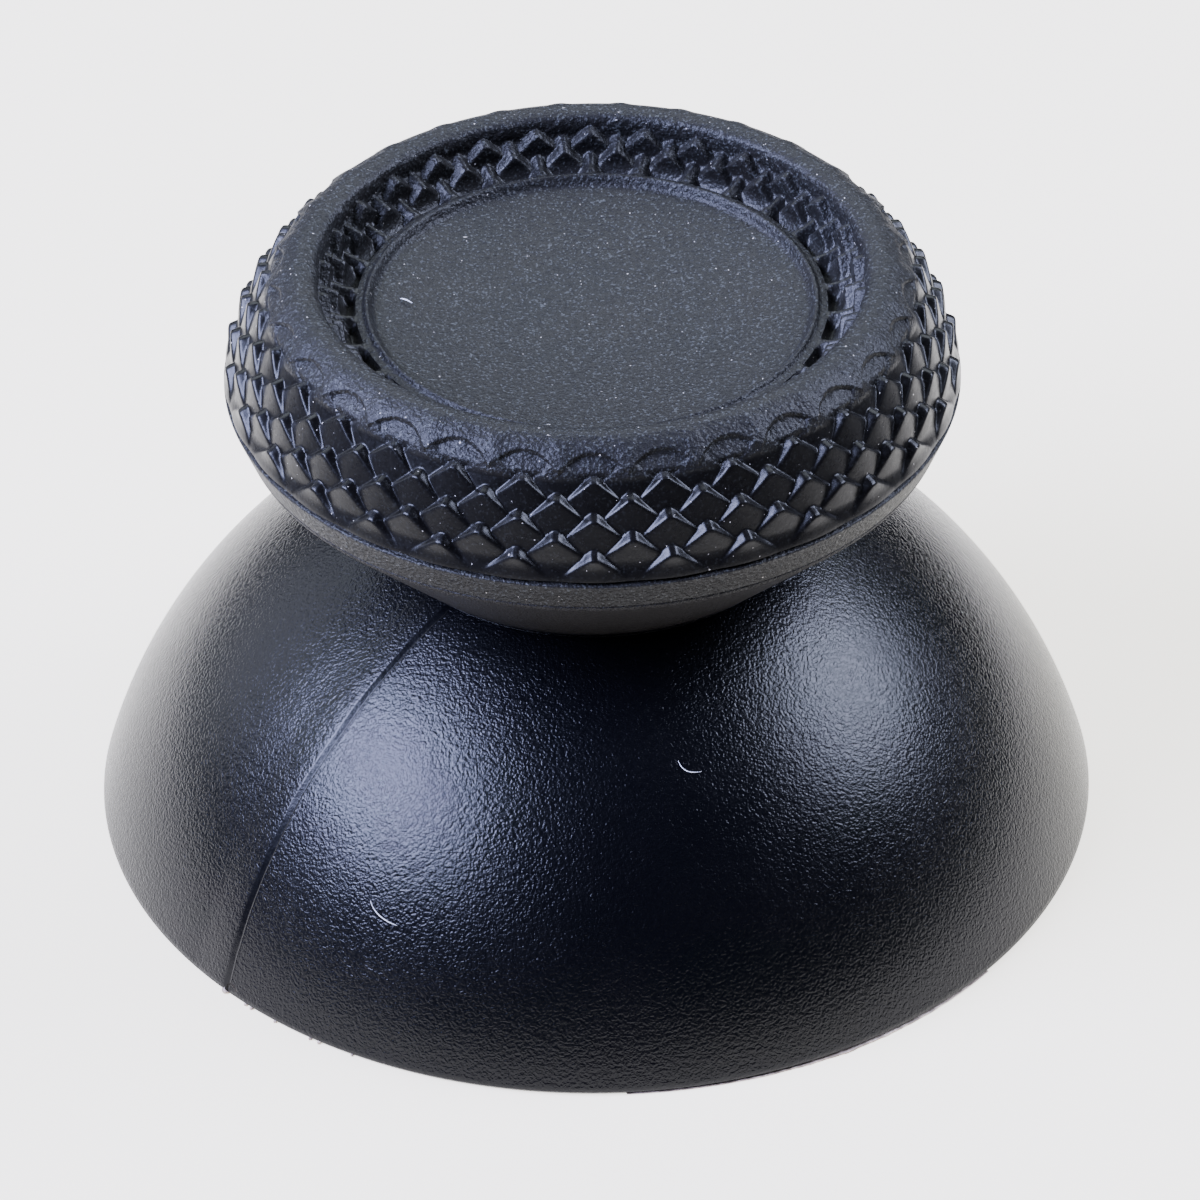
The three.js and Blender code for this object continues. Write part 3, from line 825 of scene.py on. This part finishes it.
def rubber():
    """Matt, speckled rubber; the "knurled" attribute makes it smoother on the knurls and darker there, which
    is painted shade of the knurled field.
    """
    n = Nodes("soft_rubber")
    place = n.place()
    knurled = n.add("ShaderNodeAttribute")
    knurled.attribute_name = "knurled"
    knurled = knurled.outputs["Fac"]
    speck = n.noise(place, 0.09, 1.0)
    grain = n.noise(place, 0.14, 2.0, 0.6)
    fine = n.noise(place, 0.05, 0.0)
    cloud = n.noise(place, 1.6, 3.0)
    base = n.mix(cloud, RUBBER_COOL, RUBBER_WARM)
    # Painted shade: the knurled rows get a darker brown base colour than the crest and dish.
    base = n.mix(n.ramp(knurled, 0.5, 1.0), base, KNURL_SHADE_BROWN)
    bright = n.ramp(n.math("ADD", n.math("MULTIPLY", speck, 0.5), n.math("MULTIPLY", fine, 0.5)), 0.54, 0.70)
    bright = n.math("MULTIPLY", bright, n.ramp(knurled, 0.3, 0.9, 0.28, 0.05))
    base = n.mix(bright, base, SPECK_GREY)
    dust = n.ramp(n.noise(place, 0.10, 1.0), 0.77, 0.80)
    n.link(n.mix(dust, base, DUST_PALE), "Base Color")
    shine = n.ramp(grain, 0.3, 0.7, -0.05, 0.05, smooth=False)
    level = n.ramp(knurled, 0.3, 0.9, 0.48, 0.31)
    n.link(n.math("ADD", level, shine), "Roughness")
    height = n.math("ADD", n.math("MULTIPLY", grain, 0.5), n.math("MULTIPLY", speck, 0.5))
    height = n.math("MULTIPLY", height, n.ramp(knurled, 0.3, 0.9, 1.0, 0.10))
    n.link(n.bump(height, RUBBER_GRAIN), "Normal")
    n.shader.inputs["IOR"].default_value = SURFACE_IOR
    return n.material


def film():
    """The hard plastic's torn film and burrs, paler and browner than the body."""
    n = Nodes("plastic_film")
    place = n.place()
    pale = n.ramp(n.noise(place, 0.25, 3.0), 0.35, 0.7)
    n.link(n.mix(pale, FILM_BROWN, FILM_PALE), "Base Color")
    n.link(n.ramp(n.noise(place, 0.06, 1.0), 0.3, 0.7, 0.35, 0.6), "Roughness")
    return n.material


def lint():
    n = Nodes("lint")
    n.link(n.mix(n.noise(n.place(), 0.1, 1.0), LINT_GREY, LINT_PALE), "Base Color")
    n.shader.inputs["Roughness"].default_value = 0.7
    return n.material


def floor_material():
    """Pale floor that glows near the cap and dims away from it."""
    n = Nodes("floor")
    place = n.place()
    away = n.add("ShaderNodeVectorMath", Vector=place)
    away.operation = "DISTANCE"
    away.inputs[1].default_value = (0, FLOOR_CENTRE, 0)
    near = n.ramp(away.outputs["Value"], FLOOR_BRIGHT, FLOOR_DIM, 1.0, 0.10)
    pale = n.mix(n.noise(place, 60.0, 2.0), FLOOR_WARM, FLOOR_PALE)
    n.link(n.mix(near, FLOOR_DARK, pale), "Base Color")
    n.shader.inputs["Roughness"].default_value = 0.9
    n.shader.inputs["Emission Color"].default_value = FLOOR_LIGHT
    n.link(n.math("MULTIPLY", near, FLOOR_GLOW), "Emission Strength")
    return n.material


body = body_piece()
body.data.materials.append(plastic())
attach(body, "root")
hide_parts("dome_and_stem")

chance = random.Random(7)
moulded = film()
for piece in (flash_piece(chance), burr_piece(chance)):
    piece.data.materials.append(moulded)
    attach(piece, "root")
fluff = lint_piece()
fluff.data.materials.append(lint())
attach(fluff, "root")

soft_rubber = rubber()
for piece in (band_piece(), *side_pieces(), slope_piece(), dish_piece()):
    piece.data.materials.append(soft_rubber)
    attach(piece, "root")
    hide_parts("rubber_grip")


# Studio: pale floor, two round soft boxes, a weak panel on the left and a wide weak box behind. A light has
# a direction from the aim, a distance, width and height in metres, a power in watts and a colour.
FLOOR_HALF = 3.0
LIGHT_AIM = (0, 0, 8 * MM)
LIGHTS = (
    ("left_box", (-0.724, -0.24, 0.650), 0.5, (0.42, 0.25), 16.2, (0.54, 0.60, 1.0)),
    ("left_panel", (-0.80, 0.50, 0.33), 0.8, (0.6, 0.45), 2.1, (0.80, 0.85, 1.0)),
    ("right_box", (0.765, 0.15, 0.615), 0.5, (0.34, 0.22), 6.1, (0.66, 0.72, 1.0)),
    ("backdrop", (0, 0.70, 0.71), 0.8, (1.2, 0.6), 8.4, (0.82, 0.90, 1.0)),
)
WORLD_COLOUR = (0.80, 0.84, 1.0, 1)
WORLD_STRENGTH = 0.05


def floor():
    corners = [(-1, -1), (1, -1), (1, 1), (-1, 1)]
    vertices = [(x * FLOOR_HALF, y * FLOOR_HALF, 0) for x, y in corners]
    piece = mesh_object("floor", vertices, [(0, 1, 2, 3)])
    piece.data.materials.append(floor_material())


def soft_box(name, direction, distance, size, power, colour):
    light = bpy.data.lights.new(name, "AREA")
    light.shape = "ELLIPSE"
    light.size = size[0]
    light.size_y = size[1]
    light.energy = power
    light.color = colour
    lamp = bpy.data.objects.new(name, light)
    bpy.context.scene.collection.objects.link(lamp)
    aim = Vector(LIGHT_AIM)
    lamp.location = aim + Vector(direction).normalized() * distance
    lamp.rotation_euler = (aim - lamp.location).to_track_quat("-Z", "Y").to_euler()


def surroundings():
    world = bpy.data.worlds.new("studio")
    bpy.context.scene.world = world
    world.use_nodes = True
    background = world.node_tree.nodes["Background"]
    background.inputs["Color"].default_value = WORLD_COLOUR
    background.inputs["Strength"].default_value = WORLD_STRENGTH


floor()
for light in LIGHTS:
    soft_box(*light)
surroundings()


# Camera at the photograph's angle, found by fitting the cap's outlines. The clip distances are in metres.
DISTANCE = 160
ELEVATION = math.radians(36.10)
FOCAL_PIXELS = 6496
IMAGE_PIXELS = 1200
AXIS_PIXEL = (594.6, 516.6)
ROLL = math.radians(-0.55)
TARGET_HEIGHT = 8.0
SENSOR_WIDTH = 36
CLIP = (0.01, 20)


def camera():
    target = Vector((0, 0, TARGET_HEIGHT))
    back = Vector((0, -math.cos(ELEVATION), math.sin(ELEVATION)))
    up = Vector((0, math.sin(ELEVATION), math.cos(ELEVATION)))
    right = Vector((1, 0, 0))
    eye = target + back * DISTANCE
    per_pixel = DISTANCE / FOCAL_PIXELS
    half = IMAGE_PIXELS / 2
    aim = target + right * (half - AXIS_PIXEL[0]) * per_pixel - up * (half - AXIS_PIXEL[1]) * per_pixel
    forward = (aim - eye).normalized()
    side = forward.cross(up).normalized()
    turn = Matrix((side, side.cross(forward), -forward)).transposed() @ Matrix.Rotation(ROLL, 3, "Z")
    data = bpy.data.cameras.new("camera")
    data.sensor_width = SENSOR_WIDTH
    data.lens = FOCAL_PIXELS / IMAGE_PIXELS * SENSOR_WIDTH
    data.clip_start, data.clip_end = CLIP
    piece = bpy.data.objects.new("camera", data)
    bpy.context.scene.collection.objects.link(piece)
    piece.matrix_world = Matrix.Translation(eye * MM) @ turn.to_4x4()
    bpy.context.scene.camera = piece


camera()
